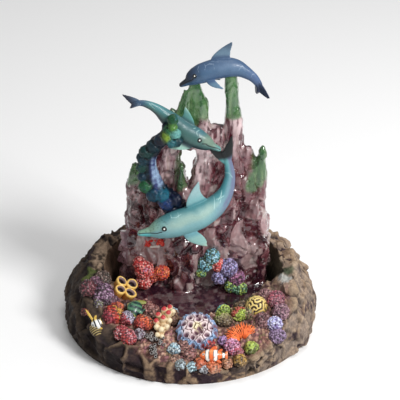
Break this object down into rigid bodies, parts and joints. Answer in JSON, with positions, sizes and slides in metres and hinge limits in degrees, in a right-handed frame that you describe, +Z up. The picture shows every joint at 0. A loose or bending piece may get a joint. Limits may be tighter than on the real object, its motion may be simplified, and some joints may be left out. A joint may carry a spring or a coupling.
{
  "type": "dolphin figurine",
  "caption": "Table-top resin figurine of leaping dolphins and a coral stem on a clear rose crag that rises from a bowl of painted reef rock.",
  "frame": {"origin": "middle of the flat underside of the rock base", "axes": "+Z up, the front of the figurine looks along -Y, +X is the viewer's right"},
  "size_m": [0.1738, 0.1636, 0.1994],
  "materials": {
    "painted_rock": "matte painted resin rock with a dry-brushed top",
    "clear_rose_resin": "clear rose resin, glossy and chipped",
    "slate_blue_paint": "satin painted resin",
    "teal_green_paint": "satin painted resin",
    "light_teal_paint": "satin painted resin",
    "navy_coral_paint": "satin painted resin",
    "red_coral_paint": "satin painted resin",
    "mixed_coral_paint": "satin painted resin"
  },
  "bodies": {
    "root": {"rock_base": "painted_rock", "crystal_crag": "clear_rose_resin", "dolphin_top": "slate_blue_paint", "dolphin_middle": "teal_green_paint", "dolphin_lower": "light_teal_paint", "coral_stem": "navy_coral_paint", "coral_clump_left": "red_coral_paint", "coral_clump_right": "mixed_coral_paint"}
  },
  "joints": []
}
